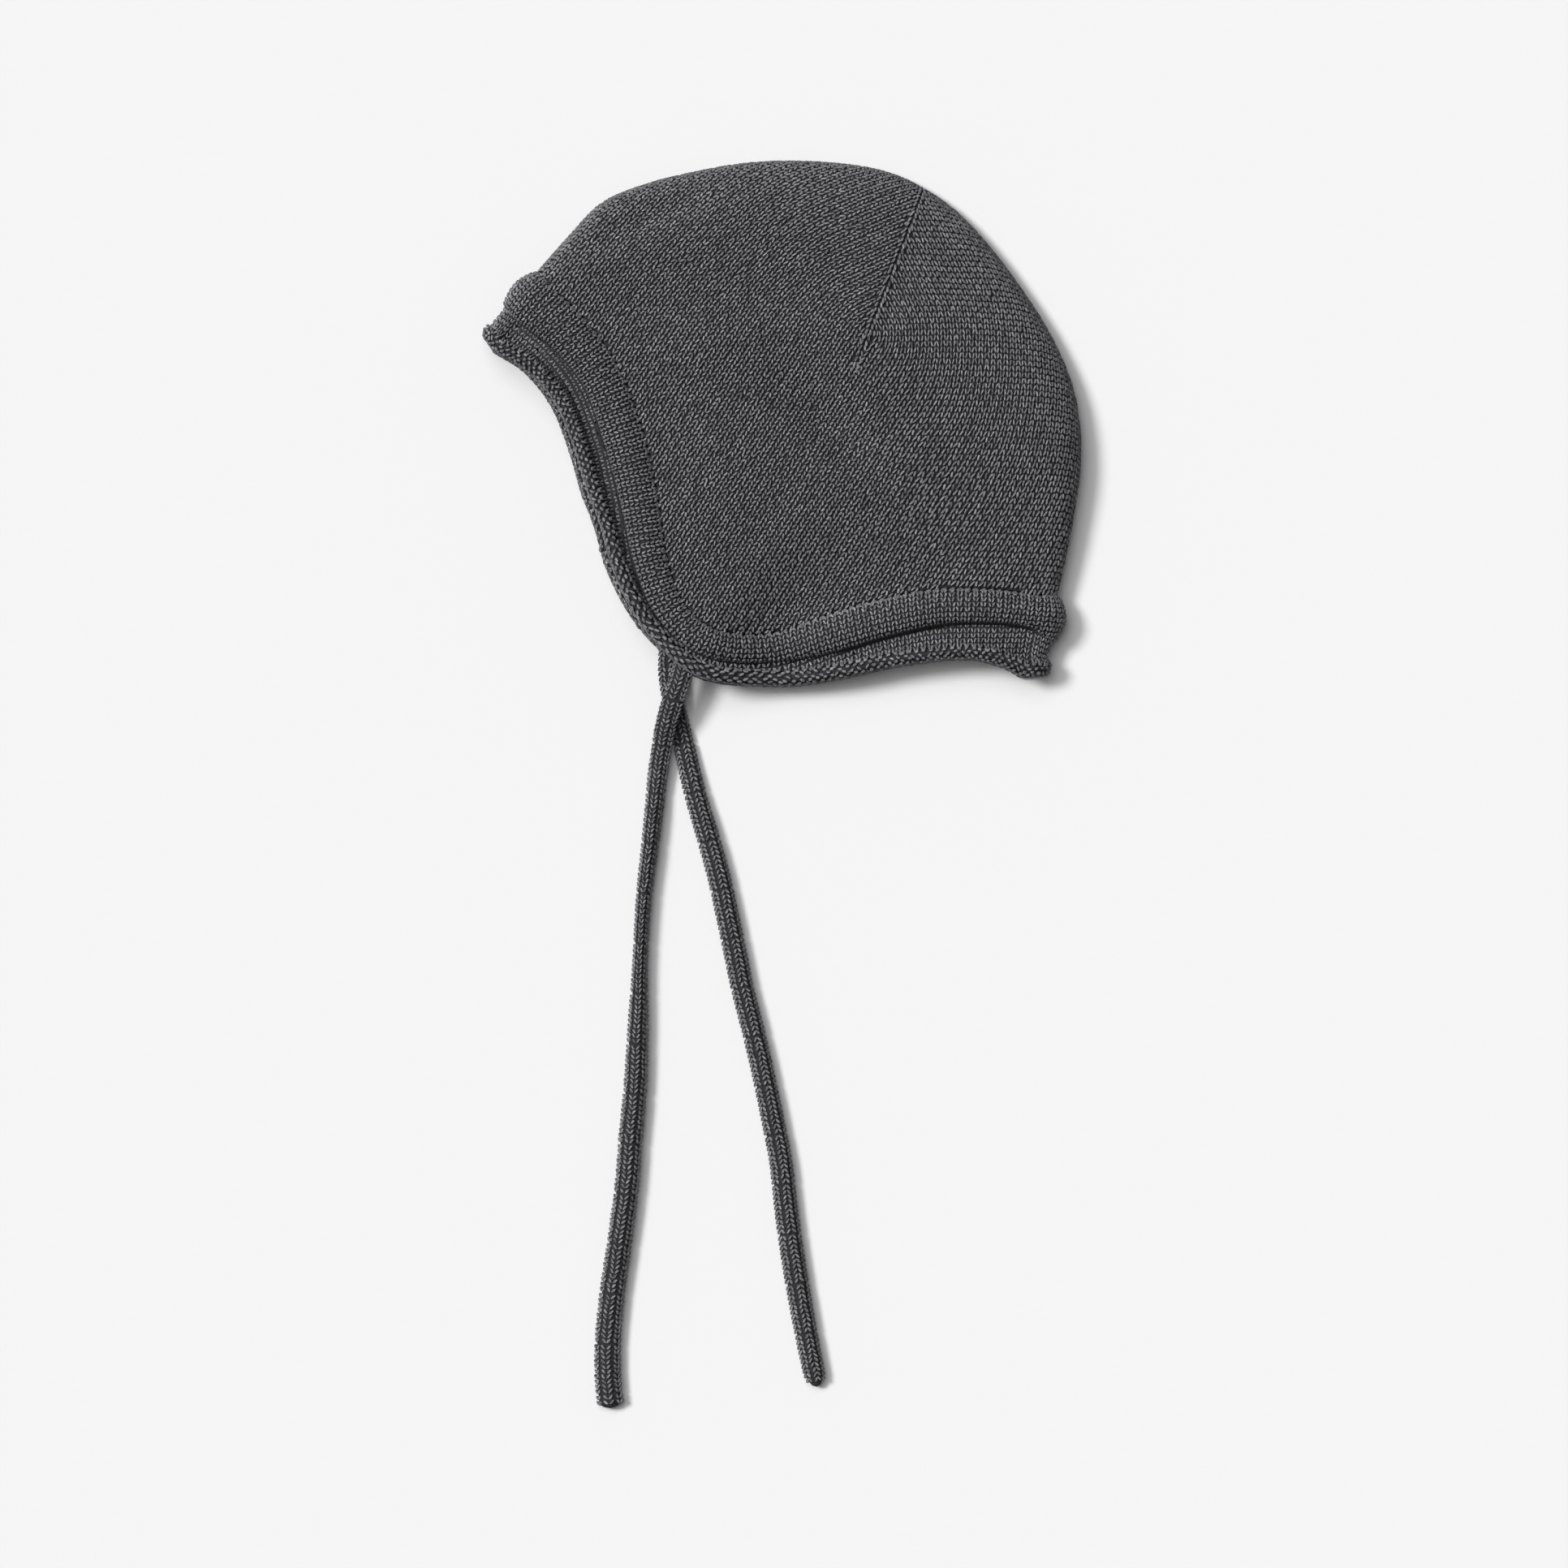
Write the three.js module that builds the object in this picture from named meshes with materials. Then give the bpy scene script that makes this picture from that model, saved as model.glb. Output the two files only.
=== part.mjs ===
// A knitted baby bonnet with two knitted ties, lying flat on its side.
// The crown is one shaped knit shell, folded over along its top and back into two layers.
// A knitted band is linked on round the face and neck edge, and its free edge rolls outwards.
// Lengths are in millimetres and +Z is up. The origin is under the middle of the bonnet,
// on the surface that it lies on, with the face towards -X and the neck towards -Y.

import * as THREE from 'three';

// Driving dimensions
const KNIT_WALL = 2.4;
const SEAT_GAP = 0.36;
const FLOOR = 0;
const UP = new THREE.Vector3(0, 0, 1);
const BROW_REACH = 55;
const UNDERSIDE_LIFT_REACH = 18;
const RELIEF_FADE = 14;
const CREASE_DEPTH = 1.0;
const CREASE_FLOOR = 0.4;
const FRONT_END_CREASE = 16;
const FRONT_END_LIFT = 0.5;
const NAPE_END_CREASE = 15.7;
const NAPE_END_LIFT = 1.5;
const TIE_WIDTH = 7.2;
const WOOL_ROUGHNESS = 0.95;
const CROWN_COLOUR = 0x4e4e50;
const BAND_COLOUR = 0x515154;
const TIE_COLOUR = 0x4c4c4f;

// How finely the surfaces are divided
const CROWN_COLUMNS = 42;
const UPPER_ROWS = 15;
const LOWER_ROWS = 11;
const SHOULDER_DENSITY = 1.5;
const HEEL_DENSITY = 5;
const END_ROW_STEP = 2;
const NORMAL_SMOOTHING = 2;
const TIE_SIDES = 10;
const TIE_STEPS = 42;

// Sections of the crown from the front of the fold, over the top and back, to the nape.
// Each runs from a point on the fold to a point on the linking seam. foldMid is the height of the
// fold's outermost line, foldLow the underside and crownHigh the upper side. shoulder and heel are
// how far in from the fold the upper and lower roundings reach.
const CROWN_SECTIONS = [
  { foldX: -75.1, foldY: 46.6, rimX: -71.4, rimY: 41.7, foldMid: 9.0, foldLow: 3.0, crownHigh: 15.0,
    shoulder: 6, heel: 6.0, rimHigh: 15.0, rimLow: 3.0 },
  { foldX: -65.9, foldY: 57.1, rimX: -61.4, rimY: 32.6, foldMid: 7.4, foldLow: 1.4, crownHigh: 16.0,
    shoulder: 13, heel: 6.0, rimHigh: 15.8, rimLow: 3.2 },
  { foldX: -55.9, foldY: 67.4, rimX: -51.1, rimY: 18.6, foldMid: 5.8, foldLow: 0.2, crownHigh: 16.6,
    shoulder: 20, heel: 5.4, rimHigh: 16.0, rimLow: 3.2 },
  { foldX: -40.9, foldY: 73.9, rimX: -42.9, rimY: -1.6, foldMid: 4.8, foldLow: 0.0, crownHigh: 16.8,
    shoulder: 26, heel: 4.8, rimHigh: 16.0, rimLow: 3.0 },
  { foldX: -25.9, foldY: 77.6, rimX: -39.4, rimY: -16.4, foldMid: 4.4, foldLow: 0.0, crownHigh: 17.0,
    shoulder: 29, heel: 4.6, rimHigh: 16.0, rimLow: 2.8 },
  { foldX: -10.9, foldY: 80.1, rimX: -37.4, rimY: -27.6, foldMid: 4.2, foldLow: 0.0, crownHigh: 17.2,
    shoulder: 30, heel: 4.4, rimHigh: 16.2, rimLow: 2.8 },
  { foldX: 9.1, foldY: 80.6, rimX: -35.1, rimY: -42.4, foldMid: 4.0, foldLow: 0.0, crownHigh: 17.6,
    shoulder: 30, heel: 4.2, rimHigh: 16.6, rimLow: 2.8 },
  { foldX: 31.6, foldY: 77.6, rimX: -29.4, rimY: -56.6, foldMid: 3.8, foldLow: 0.0, crownHigh: 18.2,
    shoulder: 29, heel: 4.0, rimHigh: 16.8, rimLow: 2.6 },
  { foldX: 46.8, foldY: 70.4, rimX: -19.4, rimY: -64.1, foldMid: 3.6, foldLow: 0.0, crownHigh: 18.6,
    shoulder: 28, heel: 4.0, rimHigh: 16.2, rimLow: 2.2 },
  { foldX: 59.4, foldY: 59.6, rimX: -3.9, rimY: -64.9, foldMid: 3.5, foldLow: 0.0, crownHigh: 18.8,
    shoulder: 28, heel: 3.9, rimHigh: 9.6, rimLow: 0.3 },
  { foldX: 72.9, foldY: 42.6, rimX: 14.1, rimY: -59.1, foldMid: 3.5, foldLow: 0.0, crownHigh: 18.8,
    shoulder: 27, heel: 3.9, rimHigh: 11.4, rimLow: 0.4 },
  { foldX: 84.1, foldY: 24.6, rimX: 30.4, rimY: -54.4, foldMid: 3.8, foldLow: 0.0, crownHigh: 18.8,
    shoulder: 24, heel: 4.1, rimHigh: 12.8, rimLow: 0.5 },
  { foldX: 90.4, foldY: 7.6, rimX: 46.6, rimY: -51.4, foldMid: 4.6, foldLow: 0.0, crownHigh: 18.4,
    shoulder: 20, heel: 4.6, rimHigh: 13.6, rimLow: 0.6 },
  { foldX: 92.1, foldY: -9.9, rimX: 59.1, rimY: -51.1, foldMid: 5.2, foldLow: 0.0, crownHigh: 16.8,
    shoulder: 16, heel: 5.0, rimHigh: 14.0, rimLow: 0.8 },
  { foldX: 89.6, foldY: -29.9, rimX: 70.4, rimY: -51.9, foldMid: 5.8, foldLow: 0.5, crownHigh: 13.8,
    shoulder: 11, heel: 5.2, rimHigh: 12.8, rimLow: 1.6 },
  { foldX: 84.9, foldY: -52.8, rimX: 78.9, rimY: -53.2, foldMid: 6.8, foldLow: 2.3, crownHigh: 11.4,
    shoulder: 6, heel: 4.5, rimHigh: 11.2, rimLow: 2.3 },
];

// The band at the same sections. The edge is the outermost line of its rolled edge on the upper
// layer. crease is the distance from the seam to the crease, roll the rolled edge's diameter, sink
// how far the roll lies below the band's own level, bulge how far the strip stands proud, and peek
// how far the lower layer reaches out past the upper one.
const BAND_SECTIONS = [
  { edgeX: -88.5, edgeY: 21.5, crease: 15.6, roll: 5.6, sink: 1.5, bulge: 3.0, peek: 0.0 },
  { edgeX: -79.5, edgeY: 16.4, crease: 14.4, roll: 5.4, sink: 0.4, bulge: 3.0, peek: 0.5 },
  { edgeX: -70.4, edgeY: 6.8, crease: 13.2, roll: 5.0, sink: 0.0, bulge: 3.0, peek: 1.4 },
  { edgeX: -63.6, edgeY: -8.5, crease: 13.4, roll: 4.8, sink: 0.0, bulge: 3.0, peek: 1.9 },
  { edgeX: -59.9, edgeY: -21.0, crease: 12.8, roll: 4.8, sink: 0.0, bulge: 3.0, peek: 2.0 },
  { edgeX: -56.1, edgeY: -30.8, crease: 12.0, roll: 4.6, sink: 0.0, bulge: 2.8, peek: 2.0 },
  { edgeX: -51.5, edgeY: -46.4, crease: 10.8, roll: 4.8, sink: 0.0, bulge: 2.5, peek: 1.9 },
  { edgeX: -41.3, edgeY: -64.8, crease: 9.6, roll: 4.6, sink: 0.0, bulge: 2.0, peek: 1.0 },
  { edgeX: -25.4, edgeY: -78.4, crease: 9.2, roll: 5.0, sink: 0.0, bulge: 2.0, peek: 0.2 },
  { edgeX: -1.4, edgeY: -81.1, crease: 9.4, roll: 5.2, sink: 0.0, bulge: 2.2, peek: 0.0 },
  { edgeX: 18.1, edgeY: -78.9, crease: 12.6, roll: 5.2, sink: 0.0, bulge: 2.6, peek: 0.0 },
  { edgeX: 33.6, edgeY: -75.4, crease: 12.8, roll: 5.2, sink: 0.0, bulge: 2.8, peek: 0.0 },
  { edgeX: 47.6, edgeY: -73.4, crease: 12.2, roll: 5.2, sink: 0.0, bulge: 2.8, peek: 0.0 },
  { edgeX: 58.2, edgeY: -72.9, crease: 11.6, roll: 5.2, sink: 0.0, bulge: 2.8, peek: 0.0 },
  { edgeX: 67.2, edgeY: -75.1, crease: 11.2, roll: 5.6, sink: 0.2, bulge: 3.2, peek: 0.0 },
  { edgeX: 73.8, edgeY: -78.4, crease: 11.4, roll: 6.0, sink: 0.5, bulge: 4.1, peek: 0.0 },
];

// The strip's bulge between the seam and the crease, and the angles at which points lie on the roll.
const BULGE_STEPS = [
  { share: 0.12, rise: 0.42 },
  { share: 0.34, rise: 0.88 },
  { share: 0.58, rise: 1.0 },
  { share: 0.84, rise: 0.62 },
];
const ROLL_ANGLES = [150, 112, 74, 36, -2, -40, -90];

// Swells and dents of the crown's upper layer: centre, half-lengths, turn in degrees and height.
const CROWN_RELIEF = [
  { x: 22, y: 24, along: 15, across: 12, turn: 69, height: 1.4 },
  { x: 12, y: 2, along: 16, across: 7, turn: -44, height: -2.6 },
  { x: -14, y: 24, along: 20, across: 7, turn: -4, height: 2.4 },
  { x: -8, y: -36, along: 14, across: 7, turn: 60, height: -1.2 },
  { x: 56, y: -18, along: 16, across: 8, turn: 80, height: -1.0 },
  { x: -44, y: 62, along: 20, across: 3.5, turn: 27, height: -1.8 },
  { x: 57, y: 43, along: 18, across: 5, turn: -45, height: -2.0 },
];

// Routes of the ties from under the rolled edge at the ear, down to the surface and along it: x, y, z
// and the tie's thickness there. The ties are flat at the ear and plump out below it.
const TIE_UPPER_ROUTE = [
  [-29.4, -70.5, 12.0, 3.2], [-30.2, -75.0, 12.25, 3.2], [-31.7, -80.0, 12.3, 3.2],
  [-33.4, -85.0, 11.6, 3.3], [-35.0, -90.0, 9.6, 3.4], [-36.2, -95.0, 7.3, 3.6],
  [-37.1, -100.0, 5.4, 3.9], [-38.0, -105.5, 4.1, 4.5], [-38.8, -112.0, 3.4, 5.4],
  [-39.5, -119.0, 3.4, 6.4], [-40.7, -130.0, 3.55, 7.0], [-42.2, -142.0, 3.55, 7.0],
  [-43.2, -154.0, 3.55, 7.0], [-43.8, -166.0, 3.55, 7.0], [-44.2, -178.0, 3.55, 7.0],
  [-44.7, -192.0, 3.55, 7.0], [-45.4, -206.0, 3.55, 7.0], [-46.7, -220.0, 3.55, 7.0],
  [-48.0, -236.0, 3.55, 7.0], [-50.1, -252.0, 3.45, 6.8], [-52.4, -268.0, 3.3, 6.5],
  [-53.7, -282.0, 3.1, 6.1], [-53.8, -294.0, 3.0, 5.9], [-52.8, -304.0, 2.9, 5.7],
];
const TIE_LOWER_ROUTE = [
  [-34.4, -69.0, 7.0, 3.0], [-34.6, -72.5, 6.9, 3.0], [-34.7, -76.0, 6.2, 3.0],
  [-34.4, -80.0, 5.0, 3.0], [-33.6, -85.0, 3.6, 3.1], [-32.6, -90.0, 2.4, 3.2],
  [-31.4, -95.0, 1.95, 3.4], [-30.1, -100.5, 2.1, 3.8], [-28.4, -108.0, 2.4, 4.4],
  [-26.4, -116.0, 2.75, 5.1], [-23.4, -126.0, 2.95, 5.6], [-20.0, -138.0, 2.95, 5.8],
  [-17.3, -150.0, 2.95, 5.8], [-14.8, -162.0, 2.95, 5.8], [-12.1, -175.0, 2.95, 5.8],
  [-8.8, -188.0, 2.95, 5.8], [-5.8, -201.0, 2.95, 5.8], [-3.1, -214.0, 2.95, 5.8],
  [-0.4, -228.0, 2.95, 5.8], [1.2, -242.0, 2.95, 5.8], [3.1, -256.0, 2.95, 5.8],
  [5.4, -270.0, 2.95, 5.8], [8.0, -284.0, 2.95, 5.8], [10.8, -297.4, 2.95, 5.8],
];

// A smooth curve through each named column of a table, one row at each station.
function tableCurve(rows, stations) {
  const names = Object.keys(rows[0]);
  const values = new Float64Array(rows.flatMap((row) => names.map((name) => row[name])));
  const curve = new THREE.CubicInterpolant(stations, values, names.length);
  return (station) => {
    const result = curve.evaluate(station);
    return Object.fromEntries(names.map((name, column) => [name, result[column]]));
  };
}

// Stations are the running length halfway between the fold and the seam.
function sectionStations(rows) {
  const middles = rows.map(
    (row) => new THREE.Vector2((row.foldX + row.rimX) / 2, (row.foldY + row.rimY) / 2));
  let length = 0;
  return Float64Array.from(middles, (middle, index) => {
    length += index > 0 ? middle.distanceTo(middles[index - 1]) : 0;
    return length;
  });
}

function easeOver(distance, reach) {
  return THREE.MathUtils.smoothstep(distance, 0, reach);
}

// Height that the swells and dents add to the crown's upper layer.
function crownRelief(x, y) {
  let height = 0;
  for (const swell of CROWN_RELIEF) {
    const turn = THREE.MathUtils.degToRad(swell.turn);
    const along = ((x - swell.x) * Math.cos(turn) + (y - swell.y) * Math.sin(turn)) / swell.along;
    const across = ((y - swell.y) * Math.cos(turn) - (x - swell.x) * Math.sin(turn)) / swell.across;
    height += swell.height * Math.exp(-(along * along + across * across) / 2);
  }
  return height;
}

const stations = sectionStations(CROWN_SECTIONS);
const crownAt = tableCurve(CROWN_SECTIONS, stations);
const bandAt = tableCurve(BAND_SECTIONS, stations);
const lastStation = stations[stations.length - 1];

// One section of the crown, with the seam points of both layers.
function sectionAt(station) {
  const crown = crownAt(station);
  const band = bandAt(station);
  const fold = new THREE.Vector2(crown.foldX, crown.foldY);
  const upperRim = new THREE.Vector2(crown.rimX, crown.rimY);
  const outward = new THREE.Vector2(band.edgeX, band.edgeY).sub(upperRim);
  const width = outward.length();
  outward.divideScalar(width);
  const lowerRim = upperRim.clone().addScaledVector(outward, band.peek);
  const out = new THREE.Vector3(outward.x, outward.y, 0);
  return { crown, band, fold, upperRim, lowerRim, out, width };
}

// Walks a layer from the seam in to the rounding and on to the fold. share is 0 at the seam and 1 at
// the fold. It gives the distance in from the fold and the rise of the rounding, from 0 to 1.
function walkLayer(length, reach, rise, density, share) {
  const rounding = density * Math.hypot(reach, rise);
  const straight = Math.max(length - reach, 0);
  const walked = share * (straight + rounding);
  if (walked < straight) {
    return { inset: length - walked, lift: 1 };
  }
  const angle = (1 - (walked - straight) / rounding) * Math.PI / 2;
  return { inset: Math.min(reach, length) * (1 - Math.cos(angle)), lift: Math.sin(angle) };
}

function upperPoint(section, share) {
  const { crown, fold, upperRim } = section;
  const length = fold.distanceTo(upperRim);
  const rise = crown.crownHigh - crown.foldMid;
  const { inset, lift } = walkLayer(length, crown.shoulder, rise, SHOULDER_DENSITY, share);
  const plan = fold.clone().lerp(upperRim, inset / length);
  const brow = Math.min(BROW_REACH, length);
  const drop = (crown.rimHigh - crown.crownHigh) * easeOver(inset - length + brow, brow);
  const fade = easeOver(inset, RELIEF_FADE) * easeOver(length - inset, RELIEF_FADE);
  const height = crown.foldMid + rise * lift + drop + fade * crownRelief(plan.x, plan.y);
  return new THREE.Vector3(plan.x, plan.y, height);
}

function lowerPoint(section, share) {
  const { crown, fold, lowerRim } = section;
  const length = fold.distanceTo(lowerRim);
  const fall = crown.foldMid - crown.foldLow;
  const { inset, lift } = walkLayer(length, crown.heel, fall, HEEL_DENSITY, share);
  const plan = fold.clone().lerp(lowerRim, inset / length);
  const reach = Math.min(UNDERSIDE_LIFT_REACH, length);
  const raise = (crown.rimLow - crown.foldLow) * easeOver(inset - length + reach, reach);
  const height = Math.max(FLOOR, crown.foldMid - fall * lift + raise);
  return new THREE.Vector3(plan.x, plan.y, height);
}

// The crown's outer side as columns of points, each from the upper seam over the fold to the lower.
function crownColumns(sections) {
  return sections.map((section) => {
    const column = [];
    for (let row = 0; row < UPPER_ROWS; row += 1) {
      column.push(upperPoint(section, row / UPPER_ROWS));
    }
    for (let row = 0; row <= LOWER_ROWS; row += 1) {
      column.push(lowerPoint(section, 1 - row / LOWER_ROWS));
    }
    return column;
  });
}

function meshGeometry(points, triangles) {
  const geometry = new THREE.BufferGeometry();
  const coordinates = points.flatMap((point) => point.toArray());
  geometry.setAttribute('position', new THREE.Float32BufferAttribute(coordinates, 3));
  geometry.setIndex(triangles);
  geometry.computeVertexNormals();
  return geometry;
}

function pushQuad(triangles, a, b, c, d) {
  triangles.push(a, b, c, a, c, d);
}

// Triangles over a grid of points, facing the crown's outer side.
function gridTriangles(columnCount, rowCount) {
  const triangles = [];
  for (let i = 0; i < columnCount - 1; i += 1) {
    for (let j = 0; j < rowCount - 1; j += 1) {
      const corner = i * rowCount + j;
      pushQuad(triangles, corner, corner + rowCount, corner + rowCount + 1, corner + 1);
    }
  }
  return triangles;
}

// Outward normals of the crown at each grid point, evened out with their neighbours.
function gridNormals(columns) {
  const rowCount = columns[0].length;
  const surface = meshGeometry(columns.flat(), gridTriangles(columns.length, rowCount));
  const faceted = surface.getAttribute('normal');
  let normals = columns.map((column, i) => column.map(
    (point, j) => new THREE.Vector3().fromBufferAttribute(faceted, i * rowCount + j)));
  for (let pass = 0; pass < NORMAL_SMOOTHING; pass += 1) {
    normals = normals.map((column, i) => column.map((normal, j) => {
      const even = normal.clone();
      const neighbours = [normals[i - 1]?.[j], normals[i + 1]?.[j], column[j - 1], column[j + 1]];
      neighbours.filter(Boolean).forEach((neighbour) => even.add(neighbour));
      return even.normalize();
    }));
  }
  return normals;
}

// Turns the normals along the open edge square to the level direction in which the band goes out.
function levelEdgeNormals(normals, sections) {
  for (const { i, j } of boundaryLoop(normals.length, normals[0].length, 1)) {
    const { out } = sections[i];
    normals[i][j].addScaledVector(out, -normals[i][j].dot(out)).normalize();
  }
}

// A wall of even thickness inside the crown's outer side, closed round its open edge.
function crownGeometry(columns, normals) {
  const columnCount = columns.length;
  const rowCount = columns[0].length;
  const outer = columns.flat();
  const inner = columns.flatMap((column, i) => column.map(
    (point, j) => point.clone().addScaledVector(normals[i][j], -KNIT_WALL)));
  const outerTriangles = gridTriangles(columnCount, rowCount);
  const innerTriangles = outerTriangles.map((vertex) => vertex + outer.length).reverse();
  const edgeTriangles = [];
  const loop = boundaryLoop(columnCount, rowCount, 1).map(({ i, j }) => i * rowCount + j);
  loop.forEach((start, index) => {
    const end = loop[(index + 1) % loop.length];
    pushQuad(edgeTriangles, start, start + outer.length, end + outer.length, end);
  });
  return meshGeometry([...outer, ...inner], [...outerTriangles, ...innerTriangles, ...edgeTriangles]);
}

// Grid places round the open edge: upper seam, nape, lower seam and front.
function boundaryLoop(columnCount, rowCount, rowStep) {
  const places = [];
  for (let i = 0; i < columnCount - 1; i += 1) {
    places.push({ i, j: 0 });
  }
  for (let j = 0; j < rowCount - 1; j += rowStep) {
    places.push({ i: columnCount - 1, j });
  }
  for (let i = columnCount - 1; i > 0; i -= 1) {
    places.push({ i, j: rowCount - 1 });
  }
  for (let j = rowCount - 1; j > 0; j -= rowStep) {
    places.push({ i: 0, j });
  }
  return places;
}

// The band's section: distance out from the seam, and height over the crown's outer side there.
// It runs over the bulge, into the crease, round the rolled edge, and back along the inner side.
function bandProfile({ bulge, roll, sink }, crease, depth, width) {
  const radius = roll / 2;
  const centre = new THREE.Vector2(width - radius, radius - KNIT_WALL - sink);
  const rollPoints = ROLL_ANGLES.map((degrees) => {
    const angle = THREE.MathUtils.degToRad(degrees);
    return new THREE.Vector2(Math.cos(angle), Math.sin(angle)).multiplyScalar(radius).add(centre);
  });
  const creaseTop = new THREE.Vector2(crease, -depth);
  const creaseUnder = new THREE.Vector2(crease, -KNIT_WALL - depth / 2);
  const lip = new THREE.Vector2(Math.max(crease + CREASE_FLOOR, width - roll), -depth);
  const upper = BULGE_STEPS.map(({ share, rise }) => new THREE.Vector2(share * crease, rise * bulge));
  const under = upper.map((point) => new THREE.Vector2(point.x, point.y - KNIT_WALL)).reverse();
  const seamTop = new THREE.Vector2(SEAT_GAP, 0);
  const seamUnder = new THREE.Vector2(SEAT_GAP, -KNIT_WALL);
  return [seamTop, ...upper, creaseTop, lip, ...rollPoints, creaseUnder, ...under, seamUnder];
}

// The band's section swept round the crown's open edge.
function bandGeometry(sections, columns, normals) {
  const loop = boundaryLoop(columns.length, columns[0].length, END_ROW_STEP);
  const lastColumn = columns.length - 1;
  const lastRow = columns[0].length - 1;
  const points = [];
  for (const { i, j } of loop) {
    const { band, out, width } = sections[i];
    const normal = normals[i][j];
    const onEnd = i === 0 || i === lastColumn;
    const endCrease = i === 0 ? FRONT_END_CREASE : NAPE_END_CREASE;
    const endLift = i === 0 ? FRONT_END_LIFT : NAPE_END_LIFT;
    const endShare = onEnd ? Math.sin(Math.PI * j / lastRow) : 0;
    const crease = THREE.MathUtils.lerp(band.crease, endCrease, endShare);
    const depth = THREE.MathUtils.lerp(CREASE_DEPTH, -endLift, endShare);
    for (const { x, y } of bandProfile(band, crease, depth, width)) {
      const point = columns[i][j].clone().addScaledVector(out, x).addScaledVector(normal, y);
      point.z = Math.max(FLOOR, point.z);
      points.push(point);
    }
  }
  const profileCount = points.length / loop.length;
  const triangles = [];
  for (let ring = 0; ring < loop.length; ring += 1) {
    const next = (ring + 1) % loop.length;
    for (let k = 0; k < profileCount; k += 1) {
      const following = (k + 1) % profileCount;
      pushQuad(triangles, ring * profileCount + k, ring * profileCount + following,
        next * profileCount + following, next * profileCount + k);
    }
  }
  return meshGeometry(points, triangles);
}

// A knitted cord along a route. The section is an ellipse, level sideways, and grows in thickness.
function tieGeometry(route) {
  const path = new THREE.CatmullRomCurve3(route.map(([x, y, z]) => new THREE.Vector3(x, y, z)));
  const thicknesses = route.map(([, , , thickness]) => thickness);
  const lastPoint = route.length - 1;
  const points = [];
  for (let step = 0; step <= TIE_STEPS; step += 1) {
    const share = step / TIE_STEPS;
    const place = path.getUtoTmapping(share) * lastPoint;
    const before = Math.min(Math.floor(place), lastPoint - 1);
    const thickness = THREE.MathUtils.lerp(thicknesses[before], thicknesses[before + 1], place - before);
    const middle = path.getPointAt(share);
    const onward = path.getTangentAt(share);
    const aside = UP.clone().cross(onward).normalize();
    const above = onward.clone().cross(aside);
    for (let side = 0; side < TIE_SIDES; side += 1) {
      const angle = 2 * Math.PI * side / TIE_SIDES;
      points.push(middle.clone().addScaledVector(aside, Math.cos(angle) * TIE_WIDTH / 2)
        .addScaledVector(above, Math.sin(angle) * thickness / 2));
    }
  }
  const triangles = [];
  for (let step = 0; step < TIE_STEPS; step += 1) {
    for (let side = 0; side < TIE_SIDES; side += 1) {
      const here = step * TIE_SIDES + side;
      const beside = step * TIE_SIDES + (side + 1) % TIE_SIDES;
      pushQuad(triangles, here, beside, beside + TIE_SIDES, here + TIE_SIDES);
    }
  }
  const lastRing = TIE_STEPS * TIE_SIDES;
  for (let side = 1; side < TIE_SIDES - 1; side += 1) {
    triangles.push(0, side + 1, side);
    triangles.push(lastRing, lastRing + side, lastRing + side + 1);
  }
  return meshGeometry(points, triangles);
}

// Dull charcoal wool
function woolMaterial(colour) {
  return new THREE.MeshStandardMaterial({ color: colour, roughness: WOOL_ROUGHNESS, metalness: 0 });
}

const sections = Array.from({ length: CROWN_COLUMNS + 1 },
  (_, index) => sectionAt(lastStation * index / CROWN_COLUMNS));
const columns = crownColumns(sections);
const normals = gridNormals(columns);
levelEdgeNormals(normals, sections);

const bonnet = new THREE.Group();

function addPiece(name, geometry, colour) {
  const piece = new THREE.Mesh(geometry, woolMaterial(colour));
  piece.name = name;
  bonnet.add(piece);
}

addPiece('crown', crownGeometry(columns, normals), CROWN_COLOUR);
addPiece('band', bandGeometry(sections, columns, normals), BAND_COLOUR);
addPiece('tie_upper', tieGeometry(TIE_UPPER_ROUTE), TIE_COLOUR);
addPiece('tie_lower', tieGeometry(TIE_LOWER_ROUTE), TIE_COLOUR);

export default bonnet;
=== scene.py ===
import math

import bpy
import numpy as np
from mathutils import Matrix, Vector
from mathutils.bvhtree import BVHTree
from mathutils.geometry import barycentric_transform


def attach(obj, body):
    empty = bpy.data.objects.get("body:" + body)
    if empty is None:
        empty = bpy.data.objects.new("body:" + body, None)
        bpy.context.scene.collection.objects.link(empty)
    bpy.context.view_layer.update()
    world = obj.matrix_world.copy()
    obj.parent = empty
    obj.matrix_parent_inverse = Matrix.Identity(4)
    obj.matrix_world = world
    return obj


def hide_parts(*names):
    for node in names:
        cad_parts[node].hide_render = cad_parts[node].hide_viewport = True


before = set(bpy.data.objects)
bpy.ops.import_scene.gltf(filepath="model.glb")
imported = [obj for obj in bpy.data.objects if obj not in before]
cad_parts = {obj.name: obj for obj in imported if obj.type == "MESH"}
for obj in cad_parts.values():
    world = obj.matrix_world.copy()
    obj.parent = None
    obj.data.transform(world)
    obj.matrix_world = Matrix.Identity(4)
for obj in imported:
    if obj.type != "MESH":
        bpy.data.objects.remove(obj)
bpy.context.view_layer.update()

MM = 0.001

# Camera: the bonnet lies on a table and is seen straight from above, from so far off that there is
# almost no perspective. The picture's scale holds at the height of the bonnet's outline.
PICTURE_WIDTH = 483 * MM
PICTURE_CENTRE = (0.6 * MM, -111.4 * MM)
OUTLINE_HEIGHT = 8 * MM
CAMERA_DISTANCE = 3.0

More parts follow.
